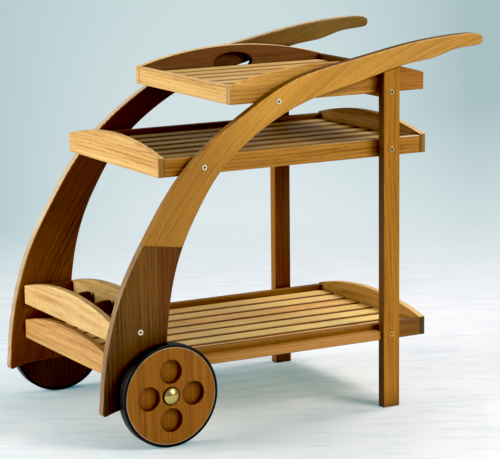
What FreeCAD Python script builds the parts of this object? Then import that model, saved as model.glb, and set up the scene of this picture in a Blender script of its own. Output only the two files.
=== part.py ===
import FreeCAD, Part
import math
import os

# A wooden serving trolley: two curved arms on two wheels, two straight posts, two fixed
# slatted shelves, a rack for bottles at the wheel end, and a slatted tray that lifts off.
# Lengths are millimetres. +X points to the handles, -Y is the near side, +Z is up.
# The origin is on the floor, under the middle of the trolley.

# Overall sizes
overall_length = 985.0
overall_height = 853.0
frame_width = 523.0

# Curved arms
arm_thick = 23.0
arm_edge_radius = 4.0

# The closed outline of an arm, as shares of the overall length and height. It runs up the
# outer edge, round the tip of the handle, down the inner edge, then round the heel and toe.
arm_edge_shares = [
    (0.0030, 0.1450), (0.0105, 0.2260), (0.0250, 0.3060), (0.0560, 0.4130),
    (0.1155, 0.5390), (0.1980, 0.6770), (0.3000, 0.7840), (0.3760, 0.8415),
    (0.4995, 0.9140), (0.5910, 0.9400), (0.6875, 0.9605), (0.7860, 0.9815),
    (0.8810, 0.9945), (0.9510, 0.9990), (0.9860, 0.9960), (0.9958, 0.9910),
    (0.9997, 0.9805), (0.9958, 0.9700), (0.9860, 0.9660), (0.9640, 0.9635),
    (0.9250, 0.9590), (0.8970, 0.9510),
    (0.8600, 0.9390), (0.8260, 0.9340), (0.7850, 0.9270), (0.7235, 0.9105),
    (0.6230, 0.8810), (0.5315, 0.8545), (0.4405, 0.8100), (0.3790, 0.7665),
    (0.2995, 0.6870), (0.2450, 0.5960), (0.2040, 0.5050), (0.1756, 0.3960),
    (0.1640, 0.3000), (0.1610, 0.2400), (0.1655, 0.1800), (0.1715, 0.1350),
    (0.1680, 0.1150), (0.1540, 0.1080), (0.1200, 0.1065), (0.0700, 0.1045),
    (0.0420, 0.1015), (0.0230, 0.0960), (0.0110, 0.0913), (0.0072, 0.0903),
    (0.0023, 0.0927), (0.0002, 0.0985), (0.0006, 0.1130),
]
scarf_height_share = 0.513
scarf_slope_degrees = 8.0

# Posts
post_wide = 44.0
handle_reach = 227.0
post_edge_radius = 3.0
dowel_radius = 5.0
dowel_length = 40.0

# Boards of the shelves and of the tray
board_thick = 15.0
board_edge_radius = 1.8
rail_height = 40.0
end_height = 43.0
arch_rise = 28.0
slat_count = 7
slat_thick = 12.0
slat_gap = 9.0
slat_rise = 28.0
slat_end_gap = 0.5
batten_wide = 34.0
batten_count = 3
batten_inset = 60.0

# Fixed shelves
shelf_spacer_thick = 10.0
shelf_spacer_radius = 15.0
shelf_overhang = 90.0
middle_front_overhang = 96.0
middle_drop = 146.5
bottom_front_overhang = 47.5
bottom_height = 152.0
stretcher_tall = 20.0
stretcher_lift = 7.0

# Lift-off tray and the two bearers that carry it
tray_drop = 125.0
tray_overhang = 83.0
tray_front_overhang = 105.0
tray_side_gap = 7.0
tray_side_thick = 17.0
tray_side_end_height = 40.0
tray_side_rise = 37.0
tray_end_height = 40.0
tray_batten_inset = 22.0
hand_hole_wide = 106.0
hand_hole_tall = 47.0
hand_hole_lift = 36.0
bearer_wide = 40.0
bearer_tall = 24.0
bearer_gap = 0.3
notch_clearance = 1.5

# Bottle rack
rack_length = 133.0
rack_gap = 10.0
rack_bolt_inset = 57.5
divider_count = 3
divider_thick = 12.0
divider_front_rise = 20.0
divider_back_rise = 39.0
divider_crest = 16.0
divider_drop = 24.0
divider_back_slope = 8.0
divider_ramp = 80.0

# Wheels and axle
wheel_radius = 115.0
tyre_thick = 6.5
tyre_wide = 24.5
tyre_edge_radius = 2.5
wheel_gap = 16.0
disc_edge_radius = 1.5
pocket_radius = 27.0
pocket_circle = 54.0
pocket_count = 4
pocket_depth = 12.0
axle_radius = 6.0
axle_edge = 24.0
bush_wall = 3.0
running_clearance = 0.05
side_play = 0.3
axle_spacer_radius = 12.0
hub_washer_radius = 20.5
hub_washer_thick = 1.2
hub_cap_radius = 18.0
hub_cap_rise = 8.0
hub_cap_rim = 2.0
axle_grip = 5.0

# Connector bolts, sleeve nuts and barrel nuts
bolt_radius = 3.0
bolt_end_gap = 1.3
bolt_head_radius = 6.5
bolt_head_thick = 2.0
bolt_head_sink = 1.2
socket_sides = 6
socket_across = 5.0
socket_depth = 1.5
hole_clearance = 0.2
sleeve_radius = 4.0
sleeve_length = 13.0
sleeve_flange_thick = 1.5
sleeve_bottom = 1.5
thread_clearance = 0.05
barrel_radius = 5.0
barrel_length = 16.0
barrel_depth = 16.0
shelf_bolt_share = 0.42
tray_bolt_share = 0.35
foot_bolt_share = 0.50

# One overrun for all cuts
overrun = 5.0

# Places worked out from the sizes above
arm_outer = frame_width / 2
arm_inner = arm_outer - arm_thick
shelf_outer = arm_inner - shelf_spacer_thick
shelf_inner = shelf_outer - board_thick
toe_x = -overall_length / 2
post_rear_x = overall_length / 2 - handle_reach
post_front_x = post_rear_x - post_wide
post_middle_x = post_front_x + post_wide / 2
tray_outer = arm_inner - tray_side_gap
tray_inner = tray_outer - tray_side_thick
tray_rear_x = post_rear_x + tray_overhang
middle_rear_x = post_rear_x + shelf_overhang
bottom_rear_x = middle_rear_x
tray_height = overall_height - tray_drop
middle_height = tray_height - middle_drop
rack_height = bottom_height + end_height + arch_rise + rack_gap
slat_lift = slat_rise - slat_thick
bearer_top = tray_height + slat_lift - bearer_gap
bearer_low = bearer_top - bearer_tall
bearer_bolt_z = bearer_low + bearer_tall / 2
middle_bolt_z = middle_height + rail_height / 2
bottom_bolt_z = bottom_height + rail_height / 2
rack_bolt_z = rack_height + end_height / 2
wheel_inner = arm_outer + wheel_gap
wheel_outer = wheel_inner + tyre_wide
disc_radius = wheel_radius - tyre_thick
bolt_head_low = -arm_outer - bolt_head_thick + bolt_head_sink
bolt_neck = bolt_head_low + bolt_head_thick
bolt_tip = -shelf_inner - sleeve_bottom - bolt_end_gap

UP = FreeCAD.Vector(0, 0, 1)
ACROSS = FreeCAD.Vector(0, 1, 0)

os.makedirs("parts", exist_ok=True)


def save(name, shape):
    """Writes one node of the trolley."""
    shape.exportStep("parts/" + name + ".step")


def point(x, y, z):
    return FreeCAD.Vector(x, y, z)


def block(x_low, x_high, y_low, y_high, z_low, z_high):
    """A plain block between two corners."""
    corner = point(x_low, y_low, z_low)
    return Part.makeBox(x_high - x_low, y_high - y_low, z_high - z_low, corner)


def eased(shape, radius):
    """Takes the sharpness off every edge of a board."""
    return shape.makeFillet(radius, shape.Edges)


def eased_board(x_low, x_high, y_low, y_high, z_low, z_high, radius=board_edge_radius):
    board = block(x_low, x_high, y_low, y_high, z_low, z_high)
    limit = min(x_high - x_low, y_high - y_low, z_high - z_low) / 3
    return eased(board, min(radius, limit))


def rod(x, y, z, radius, length, direction):
    return Part.makeCylinder(radius, length, point(x, y, z), direction)


def mirrored(shape):
    """The same piece on the far side of the trolley."""
    return shape.mirror(point(0, 0, 0), ACROSS)


def arched_profile(low, high, z_low, side_height, rise, place):
    """A board's face: a flat bottom, upright ends and a top that rises in one arc."""
    middle = (low + high) / 2
    z_side = z_low + side_height
    a = place(low, z_low)
    b = place(high, z_low)
    c = place(high, z_side)
    d = place(low, z_side)
    crown = place(middle, z_side + rise)
    edges = [
        Part.makeLine(a, b),
        Part.makeLine(b, c),
        Part.Arc(c, crown, d).toShape(),
        Part.makeLine(d, a),
    ]
    return Part.Face(Part.Wire(edges))


def arched_end(x_low, z_low):
    """A full-width end board of a shelf, standing across the trolley."""
    face = arched_profile(-shelf_outer, shelf_outer, z_low, end_height, arch_rise,
                          lambda y, z: point(x_low, y, z))
    return eased(face.extrude(point(board_thick, 0, 0)), board_edge_radius)


def slat_places(inner):
    """The low and high Y of each slat in a shelf, with half a gap beside each rail."""
    pitch = 2 * inner / slat_count
    places = []
    for number in range(slat_count):
        low = -inner + number * pitch + slat_gap / 2
        places.append((low, low + pitch - slat_gap))
    return places


# The arms' outline as a face in the plane of the near arm's outer side
def arm_point(shares):
    return point(toe_x + shares[0] * overall_length, -arm_outer, shares[1] * overall_height)


arm_curve = Part.BSplineCurve()
arm_curve.interpolate(Points=[arm_point(shares) for shares in arm_edge_shares], PeriodicFlag=True)
arm_face = Part.Face(Part.Wire([arm_curve.toShape()]))
arm_square = arm_face.extrude(point(0, arm_thick, 0))


def arm_span(z):
    """The X of the outer and the inner edge of an arm's lower half at one height."""
    cut = Part.makeLine(point(toe_x - overrun, -arm_outer, z), point(post_front_x, -arm_outer, z))
    crossing = arm_face.common(cut)
    return crossing.BoundBox.XMin, crossing.BoundBox.XMax


def arm_x(z, share):
    """A place across the width of an arm, as a share from its outer to its inner edge."""
    outer, inner = arm_span(z)
    return outer + share * (inner - outer)


axle_x = arm_x(wheel_radius, 1.0) - axle_edge
front_bearer_x = arm_x(bearer_bolt_z, tray_bolt_share)
middle_bolt_x = arm_x(middle_bolt_z, shelf_bolt_share)
bottom_bolt_x = arm_x(bottom_bolt_z, foot_bolt_share)
tray_front_x = front_bearer_x - tray_front_overhang
middle_front_x = middle_bolt_x - middle_front_overhang
bottom_front_x = bottom_bolt_x - bottom_front_overhang
rack_front_x = bottom_front_x
rack_back_x = rack_front_x + rack_length
rack_bolt_x = rack_front_x + rack_bolt_inset
scarf_z = scarf_height_share * overall_height
scarf_x = arm_x(scarf_z, 0.5)

# Where a bolt goes through an arm or a post, and what it holds there
bearer_bolts = [(front_bearer_x, bearer_bolt_z), (post_middle_x, bearer_bolt_z)]
middle_bolts = [(middle_bolt_x, middle_bolt_z), (post_middle_x, middle_bolt_z)]
bottom_bolts = [(bottom_bolt_x, bottom_bolt_z), (post_middle_x, bottom_bolt_z)]
rack_bolts = [(rack_bolt_x, rack_bolt_z)]
rail_bolts = middle_bolts + bottom_bolts + rack_bolts
all_bolts = bearer_bolts + rail_bolts


def bolt_holes(places):
    """Holes for the near side's bolts through an arm or post, sunk for the heads."""
    cutters = []
    for x, z in places:
        cutters.append(rod(x, -arm_outer - overrun, z, bolt_radius + hole_clearance,
                           arm_thick + 2 * overrun, ACROSS))
        cutters.append(rod(x, -arm_outer - overrun, z, bolt_head_radius + hole_clearance,
                           overrun + bolt_head_sink, ACROSS))
    return Part.makeCompound(cutters)


def nut_holes(places):
    """Holes for the sleeve nuts through a shelf rail or a rack side."""
    cutters = []
    for x, z in places:
        cutters.append(rod(x, -shelf_outer - overrun, z, sleeve_radius + hole_clearance,
                           board_thick + 2 * overrun, ACROSS))
    return Part.makeCompound(cutters)


# Arms, each glued up from an upper and a lower board with a sloping butt joint between them
def arm_blank():
    """The whole near arm with its edges rounded and its holes drilled."""
    rims = [edge for edge in arm_square.Edges if edge.BoundBox.YLength < arm_thick / 2]
    shape = arm_square.makeFillet(arm_edge_radius, rims)
    axle_hole = rod(axle_x, -arm_outer - overrun, wheel_radius, axle_radius + running_clearance,
                    arm_thick + 2 * overrun, ACROSS)
    arm_bolts = [bearer_bolts[0], middle_bolts[0], bottom_bolts[0], rack_bolts[0]]
    return shape.cut(bolt_holes(arm_bolts)).cut(axle_hole).cut(dowel_hole())


def post_top():
    """Height of the arm's lower edge over the middle of the post."""
    line = Part.makeLine(point(post_middle_x, -arm_outer, 0),
                         point(post_middle_x, -arm_outer, overall_height + overrun))
    return arm_face.common(line).BoundBox.ZMin


def dowel_rod(clearance):
    """The dowel that pins a post to its arm, or the hole that it sits in."""
    low = post_top() - dowel_length / 2 - clearance
    return rod(post_middle_x, -arm_outer + arm_thick / 2, low, dowel_radius + clearance,
               dowel_length + 2 * clearance, UP)


def dowel_hole():
    return dowel_rod(running_clearance)


def below_scarf():
    """All of an arm's board below the joint, which slopes down towards the posts."""
    fall = math.tan(math.radians(scarf_slope_degrees))
    front_x = toe_x - overrun
    y = -arm_outer - overrun
    corners = [
        point(front_x, y, -overrun),
        point(post_front_x, y, -overrun),
        point(post_front_x, y, scarf_z - fall * (post_front_x - scarf_x)),
        point(front_x, y, scarf_z - fall * (front_x - scarf_x)),
    ]
    face = Part.Face(Part.makePolygon(corners + corners[:1]))
    return face.extrude(point(0, arm_thick + 2 * overrun, 0))


arm = arm_blank()
lower_region = below_scarf()
arm_lower = arm.common(lower_region)
arm_upper = arm.cut(lower_region)
save("near_arm_upper", arm_upper)
save("far_arm_upper", mirrored(arm_upper))
save("near_arm_lower", arm_lower)
save("far_arm_lower", mirrored(arm_lower))

# Posts, straight and flush with the arms, cut at the top to the arms' lower edge
post_stock = block(post_front_x, post_rear_x, -arm_outer, -arm_inner, 0, post_top() + post_wide / 2)
post_uprights = [edge for edge in post_stock.Edges if edge.BoundBox.ZLength > post_wide]
post_foot = [edge for edge in post_stock.Edges if edge.BoundBox.ZMax < overrun]
post = post_stock.makeFillet(post_edge_radius, post_uprights + post_foot)
post = post.cut(arm_square).cut(bolt_holes([bearer_bolts[1], middle_bolts[1], bottom_bolts[1]]))
post = post.cut(dowel_hole())
save("near_post", post)
save("far_post", mirrored(post))
dowel = dowel_rod(0)
save("post_dowels", Part.makeCompound([dowel, mirrored(dowel)]))


# Bearers across the trolley under the tray, bolted between the arms and between the posts
def bearer(x_middle):
    """One bearer with its two bolt holes and the cross holes of its barrel nuts."""
    bar = eased_board(x_middle - bearer_wide / 2, x_middle + bearer_wide / 2,
                      -arm_inner, arm_inner, bearer_low, bearer_top)
    hole = rod(x_middle, -arm_inner - overrun, bearer_bolt_z, bolt_radius + hole_clearance,
               bolt_tip + arm_inner + 2 * overrun, ACROSS)
    cross = rod(x_middle, -arm_inner + barrel_depth, bearer_low - overrun,
                barrel_radius + hole_clearance,
                overrun + bearer_tall / 2 + barrel_length / 2 + hole_clearance, UP)
    holes = Part.makeCompound([hole, cross])
    return bar.cut(holes).cut(mirrored(holes))


save("front_tray_bearer", bearer(front_bearer_x))
save("rear_tray_bearer", bearer(post_middle_x))


# Shelves: end boards across the trolley, rails between them, battens and slats
def rail(x_low, x_high, z_low, bolts):
    board = eased_board(x_low, x_high, -shelf_outer, -shelf_inner, z_low, z_low + rail_height)
    return board.cut(nut_holes(bolts))


def shelf_slats(front_x, rear_x, z_low, inner):
    slats = []
    for low, high in slat_places(inner):
        slats.append(eased_board(front_x + board_thick + slat_end_gap,
                                 rear_x - board_thick - slat_end_gap, low, high,
                                 z_low + slat_lift, z_low + slat_rise))
    return slats


def shelf_battens(places, z_low, inner):
    battens = []
    for x in places:
        battens.append(eased_board(x - batten_wide / 2, x + batten_wide / 2, -inner, inner,
                                   z_low, z_low + slat_lift))
    return battens


def batten_places(front_x, rear_x):
    """Battens spread evenly from one inset end of a shelf to the other."""
    first = front_x + board_thick + batten_inset
    last = rear_x - board_thick - batten_inset
    return [first + (last - first) * number / (batten_count - 1)
            for number in range(batten_count)]


def make_shelf(name, front_x, rear_x, z_low, bolts):
    near_rail = rail(front_x + board_thick, rear_x - board_thick, z_low, bolts)
    save(name + "_near_rail", near_rail)
    save(name + "_far_rail", mirrored(near_rail))
    save(name + "_front_end", arched_end(front_x, z_low))
    save(name + "_rear_end", arched_end(rear_x - board_thick, z_low))
    for number, slat in enumerate(shelf_slats(front_x, rear_x, z_low, shelf_inner)):
        save(name + "_slat_" + str(number + 1), slat)


make_shelf("middle", middle_front_x, middle_rear_x, middle_height, middle_bolts)
make_shelf("bottom", bottom_front_x, bottom_rear_x, bottom_height, bottom_bolts)
fixed_battens = shelf_battens(batten_places(middle_front_x, middle_rear_x), middle_height,
                              shelf_inner)
fixed_battens += shelf_battens(batten_places(bottom_front_x, bottom_rear_x), bottom_height,
                               shelf_inner)
save("shelf_battens", Part.makeCompound(fixed_battens))

# Stretchers along the bottom shelf, from each arm to its post, beside the shelf's rails
stretcher_low = bottom_height + stretcher_lift
stretcher = block(toe_x, post_front_x, -shelf_outer - arm_thick, -shelf_outer,
                  stretcher_low, stretcher_low + stretcher_tall)
stretcher = stretcher.cut(arm_face.extrude(point(0, frame_width / 2, 0)))
stretcher = max(stretcher.Solids, key=lambda solid: solid.CenterOfMass.x)
stretcher_long = [edge for edge in stretcher.Edges if edge.BoundBox.XLength > post_wide]
stretcher = stretcher.makeFillet(board_edge_radius, stretcher_long)
save("near_stretcher", stretcher)
save("far_stretcher", mirrored(stretcher))


# The tray: two arched sides with hand holes, two ends between them, slats and battens
def tray_side():
    """The near side, notched over the bearers."""
    face = arched_profile(tray_front_x, tray_rear_x, tray_height, tray_side_end_height,
                          tray_side_rise, lambda x, z: point(x, -tray_outer, z))
    middle = (tray_front_x + tray_rear_x) / 2
    board = face.cut(oval_face(middle, tray_height + hand_hole_lift))
    board = board.extrude(point(0, tray_side_thick, 0))
    board = eased(board, board_edge_radius)
    for x in (front_bearer_x, post_middle_x):
        half = bearer_wide / 2 + notch_clearance
        board = board.cut(block(x - half, x + half, -tray_outer - overrun, -tray_inner + overrun,
                                tray_height - overrun, bearer_top + bearer_gap))
    return board


def oval_face(x, z):
    """The hand hole's oval, in the plane of the tray's near side."""
    centre = point(x, -tray_outer, z)
    side = point(x + hand_hole_wide / 2, -tray_outer, z)
    top = point(x, -tray_outer, z + hand_hole_tall / 2)
    return Part.Face(Part.Wire([Part.Ellipse(side, top, centre).toShape()]))


near_side = tray_side()
save("tray_near_side", near_side)
save("tray_far_side", mirrored(near_side))
for name, x_low in (("front", tray_front_x), ("rear", tray_rear_x - board_thick)):
    save("tray_" + name + "_end",
         eased_board(x_low, x_low + board_thick, -tray_inner, tray_inner, tray_height,
                     tray_height + tray_end_height))
save("tray_slats",
     Part.makeCompound(shelf_slats(tray_front_x, tray_rear_x, tray_height, tray_inner)))
tray_batten_places = [tray_front_x + board_thick + tray_batten_inset,
                      tray_rear_x - board_thick - tray_batten_inset]
save("tray_battens",
     Part.makeCompound(shelf_battens(tray_batten_places, tray_height, tray_inner)))

# The bottle rack: a frame over the front of the bottom shelf, with dividers for the bottles
save("rack_front_rail", arched_end(rack_front_x, rack_height))
save("rack_back_panel", arched_end(rack_back_x - board_thick, rack_height))
rack_inner_front = rack_front_x + board_thick
rack_inner_back = rack_back_x - board_thick
rack_side = eased_board(rack_inner_front, rack_inner_back, -shelf_outer, -shelf_inner,
                        rack_height, rack_height + end_height)
rack_side = rack_side.cut(nut_holes(rack_bolts))
save("rack_near_side", rack_side)
save("rack_far_side", mirrored(rack_side))


def divider(y_middle):
    """One board between two bottles: it ramps up to a crest, then slopes down at the back."""
    y = y_middle - divider_thick / 2
    crest_back = rack_inner_back - divider_back_slope
    crest_front = crest_back - divider_crest
    ramp_front = max(crest_front - divider_ramp, rack_inner_front)
    top = rack_height + divider_back_rise
    corners = [
        point(rack_inner_front, y, rack_height),
        point(rack_inner_front, y, rack_height + divider_front_rise),
        point(ramp_front, y, rack_height + divider_front_rise),
        point(crest_front, y, top),
        point(crest_back, y, top),
        point(rack_inner_back, y, top - divider_drop),
        point(rack_inner_back, y, rack_height),
    ]
    corners = [corner for number, corner in enumerate(corners)
               if number == 0 or corner.distanceToPoint(corners[number - 1]) > hole_clearance]
    face = Part.Face(Part.makePolygon(corners + corners[:1]))
    return eased(face.extrude(point(0, divider_thick, 0)), board_edge_radius / 2)


divider_pitch = 2 * shelf_inner / (divider_count + 1)
dividers = [divider(-shelf_inner + divider_pitch * (number + 1)) for number in range(divider_count)]
save("rack_dividers", Part.makeCompound(dividers))


# Wheels: a wooden disc with round blind pockets, a rubber tyre and a bush in the middle
def wheel_disc():
    disc = rod(axle_x, -wheel_outer, wheel_radius, disc_radius, tyre_wide, ACROSS)
    disc = eased(disc, disc_edge_radius)
    disc = disc.cut(rod(axle_x, -wheel_outer - overrun, wheel_radius, bush_radius,
                        tyre_wide + 2 * overrun, ACROSS))
    for number in range(pocket_count):
        turn = 2 * math.pi * number / pocket_count
        x = axle_x + pocket_circle * math.cos(turn)
        z = wheel_radius + pocket_circle * math.sin(turn)
        disc = disc.cut(rod(x, -wheel_outer - overrun, z, pocket_radius, pocket_depth + overrun,
                            ACROSS))
    return disc


def ring(outer, inner, y_low, length):
    """A tube round the axle."""
    tube = rod(axle_x, y_low, wheel_radius, outer, length, ACROSS)
    return tube.cut(rod(axle_x, y_low - overrun, wheel_radius, inner, length + 2 * overrun, ACROSS))


def tyre():
    tube = rod(axle_x, -wheel_outer, wheel_radius, wheel_radius, tyre_wide, ACROSS)
    tube = eased(tube, tyre_edge_radius)
    return tube.cut(rod(axle_x, -wheel_outer - overrun, wheel_radius, disc_radius,
                        tyre_wide + 2 * overrun, ACROSS))


bush_radius = axle_radius + running_clearance + bush_wall
axle_hole_radius = axle_radius + running_clearance
wheel_pieces = {
    "wheel_disc": wheel_disc(),
    "tyre": tyre(),
    "wheel_bush": ring(bush_radius, axle_hole_radius, -wheel_outer, tyre_wide),
}
for name, shape in wheel_pieces.items():
    save("near_" + name, shape)
    save("far_" + name, mirrored(shape))

# The axle goes through both arms, and spacers, washers and domed caps keep the wheels on it
washer_outer = wheel_outer + side_play + hub_washer_thick
axle_end = washer_outer + axle_grip
save("axle", rod(axle_x, -axle_end, wheel_radius, axle_radius, 2 * axle_end, ACROSS))
axle_spacer = ring(axle_spacer_radius, axle_hole_radius, -wheel_inner + side_play,
                   wheel_gap - side_play)
save("axle_spacers", Part.makeCompound([axle_spacer, mirrored(axle_spacer)]))
hub_washer = ring(hub_washer_radius, axle_hole_radius, -washer_outer, hub_washer_thick)
save("hub_washers", Part.makeCompound([hub_washer, mirrored(hub_washer)]))


def hub_cap():
    """A domed cap with a short upright rim, pushed onto the end of the axle."""
    dome_radius = (hub_cap_radius ** 2 + hub_cap_rise ** 2) / (2 * hub_cap_rise)
    base = -washer_outer
    shoulder = base - hub_cap_rim
    crown = shoulder - hub_cap_rise
    turn = math.asin(hub_cap_radius / dome_radius) / 2
    bulge_x = dome_radius * math.sin(turn)
    bulge_y = crown + dome_radius * (1 - math.cos(turn))
    centre = point(axle_x, base, wheel_radius)
    top = point(axle_x, crown, wheel_radius)
    bulge = point(axle_x + bulge_x, bulge_y, wheel_radius)
    side_top = point(axle_x + hub_cap_radius, shoulder, wheel_radius)
    side_low = point(axle_x + hub_cap_radius, base, wheel_radius)
    edges = [
        Part.makeLine(centre, top),
        Part.Arc(top, bulge, side_top).toShape(),
        Part.makeLine(side_top, side_low),
        Part.makeLine(side_low, centre),
    ]
    dome = Part.Face(Part.Wire(edges)).revolve(centre, ACROSS, 360)
    return dome.cut(rod(axle_x, -axle_end, wheel_radius, axle_hole_radius,
                        axle_end - washer_outer + overrun, ACROSS))


cap = hub_cap()
save("hub_caps", Part.makeCompound([cap, mirrored(cap)]))


# Fasteners: a bolt from outside at each fixing, into a sleeve nut or a barrel nut
def both_sides(shapes):
    """The near side's pieces and their mirror images, as one group of solids."""
    return Part.makeCompound(shapes + [mirrored(shape) for shape in shapes])


def bolt(x, z):
    head = rod(x, bolt_head_low, z, bolt_head_radius, bolt_head_thick, ACROSS)
    face_edges = [edge for edge in head.Edges
                  if edge.CenterOfMass.y < bolt_head_low + hole_clearance]
    head = head.makeFillet(bolt_head_thick / 3, face_edges)
    shank = rod(x, bolt_neck, z, bolt_radius, bolt_tip - bolt_neck, ACROSS)
    corners = []
    for number in range(socket_sides):
        turn = 2 * math.pi * number / socket_sides
        reach = socket_across / 2 / math.cos(math.pi / socket_sides)
        corners.append(point(x + reach * math.cos(turn), bolt_head_low,
                             z + reach * math.sin(turn)))
    socket = Part.Face(Part.makePolygon(corners + corners[:1])).extrude(point(0, socket_depth, 0))
    return head.fuse(shank).cut(socket)


def sleeve_nut(x, z):
    flange = rod(x, -shelf_inner, z, bolt_head_radius, sleeve_flange_thick, ACROSS)
    barrel = rod(x, -shelf_inner - sleeve_length, z, sleeve_radius, sleeve_length, ACROSS)
    bore = rod(x, -shelf_inner - sleeve_length - overrun, z, bolt_radius + thread_clearance,
               sleeve_length - sleeve_bottom + overrun, ACROSS)
    return flange.fuse(barrel).removeSplitter().cut(bore)


def barrel_nut(x, z):
    y = -arm_inner + barrel_depth
    nut = rod(x, y, z - barrel_length / 2, barrel_radius, barrel_length, UP)
    return nut.cut(rod(x, y - barrel_radius - overrun, z, bolt_radius + thread_clearance,
                       2 * barrel_radius + 2 * overrun, ACROSS))


def shelf_spacer(x, z):
    disc = rod(x, -arm_inner, z, shelf_spacer_radius, shelf_spacer_thick, ACROSS)
    return disc.cut(rod(x, -arm_inner - overrun, z, bolt_radius + hole_clearance,
                        shelf_spacer_thick + 2 * overrun, ACROSS))


save("connector_bolts", both_sides([bolt(x, z) for x, z in all_bolts]))
save("sleeve_nuts", both_sides([sleeve_nut(x, z) for x, z in rail_bolts]))
save("barrel_nuts", both_sides([barrel_nut(x, z) for x, z in bearer_bolts]))
save("shelf_spacers", both_sides([shelf_spacer(x, z) for x, z in rail_bolts]))
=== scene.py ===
import math

import bmesh
import bpy
from mathutils import Matrix, Vector

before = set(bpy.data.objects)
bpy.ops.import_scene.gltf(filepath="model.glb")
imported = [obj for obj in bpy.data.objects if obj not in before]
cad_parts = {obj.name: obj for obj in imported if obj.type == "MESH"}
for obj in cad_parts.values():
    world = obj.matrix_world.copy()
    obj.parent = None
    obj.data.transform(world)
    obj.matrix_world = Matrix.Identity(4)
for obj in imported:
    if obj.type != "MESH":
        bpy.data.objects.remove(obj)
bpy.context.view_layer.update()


# The two curved arms. Each is glued up from two teak boards, sawn to the curve: a golden upper
# board that runs into the handle, and a darker brown foot. The edges are eased by hand, and
# the wood is oiled, not varnished.
def paint(red, green, blue):
    """A colour given on a 0 to 255 scale, as the shader's linear values."""
    parts = []
    for value in (red, green, blue):
        share = value / 255
        parts.append(share / 12.92 if share <= 0.04045 else ((share + 0.055) / 1.055) ** 2.4)
    return (*parts, 1.0)


def wire(tree, source, target):
    """Joins an output to an input, each given as (node, socket name or number)."""
    tree.links.new(source[0].outputs[source[1]], target[0].inputs[target[1]])


def feed(tree, node, sockets):
    """Fills a node's inputs, each with a plain value or with an output given as a pair."""
    for socket, value in sockets:
        if isinstance(value, tuple) and len(value) == 2:
            wire(tree, value, (node, socket))
        else:
            node.inputs[socket].default_value = value


def sums(tree, operation, *values):
    """One math node; each value is a number or a (node, output) pair."""
    node = tree.nodes.new("ShaderNodeMath")
    node.operation = operation
    feed(tree, node, enumerate(values))
    return (node, 0)


def vectors(tree, operation, *values):
    """One vector math node; each value is a triple or a (node, output) pair."""
    node = tree.nodes.new("ShaderNodeVectorMath")
    node.operation = operation
    feed(tree, node, enumerate(values))
    return (node, "Value" if operation in ("LENGTH", "DISTANCE", "DOT_PRODUCT") else "Vector")


def spread(tree, value, low, high, to_low=0.0, to_high=1.0):
    """Stretches one range of values to another, and stops at its ends."""
    node = tree.nodes.new("ShaderNodeMapRange")
    feed(tree, node, (("Value", value), ("From Min", low), ("From Max", high),
                      ("To Min", to_low), ("To Max", to_high)))
    return (node, "Result")


def blotches(tree, place, stretch, detail=2.0, roughness=0.5):
    """Noise over a place, with its own number of blotches to the metre along each axis."""
    scaled = vectors(tree, "MULTIPLY", place, stretch)
    node = tree.nodes.new("ShaderNodeTexNoise")
    feed(tree, node, (("Vector", scaled), ("Scale", 1.0), ("Detail", detail),
                      ("Roughness", roughness)))
    return (node, "Fac")


def blend_colours(tree, kind, share, first, second):
    """Mixes two colours; each part is a plain value or a (node, output) pair."""
    share_socket, first_socket, second_socket, result = 0, 6, 7, 2
    node = tree.nodes.new("ShaderNodeMix")
    node.data_type = "RGBA"
    node.blend_type = kind
    feed(tree, node, ((share_socket, share), (first_socket, first), (second_socket, second)))
    return (node, result)


def start_group(name, inputs, outputs):
    """A new node group, with named inputs that each have a starting value, and named outputs."""
    group = bpy.data.node_groups.new(name, "ShaderNodeTree")
    for title, kind, start in inputs:
        socket = group.interface.new_socket(title, in_out="INPUT", socket_type="NodeSocket" + kind)
        socket.default_value = start
    for title, kind in outputs:
        group.interface.new_socket(title, in_out="OUTPUT", socket_type="NodeSocket" + kind)
    return group, group.nodes.new("NodeGroupInput"), group.nodes.new("NodeGroupOutput")


def place_group(tree, group, sockets):
    """Puts a node group in a finish, with that finish's own values."""
    node = tree.nodes.new("ShaderNodeGroup")
    node.node_tree = group
    feed(tree, node, sockets)
    return node


def start_finish(name):
    """A new finish, with its nodes and its shader."""
    finish = bpy.data.materials.new(name)
    finish.use_nodes = True
    tree = finish.node_tree
    return finish, tree, tree.nodes["Principled BSDF"]


def on_trolley(tree):
    """The place on the trolley, in metres."""
    return (tree.nodes.new("ShaderNodeTexCoord"), "Object")


def raise_surface(tree, height, strength, depth):
    """Fine relief over a surface, no deeper than the depth in metres."""
    bump = tree.nodes.new("ShaderNodeBump")
    feed(tree, bump, (("Strength", strength), ("Distance", depth), ("Height", height)))
    wire(tree, (bump, "Normal"), (tree.nodes["Principled BSDF"], "Normal"))


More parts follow.
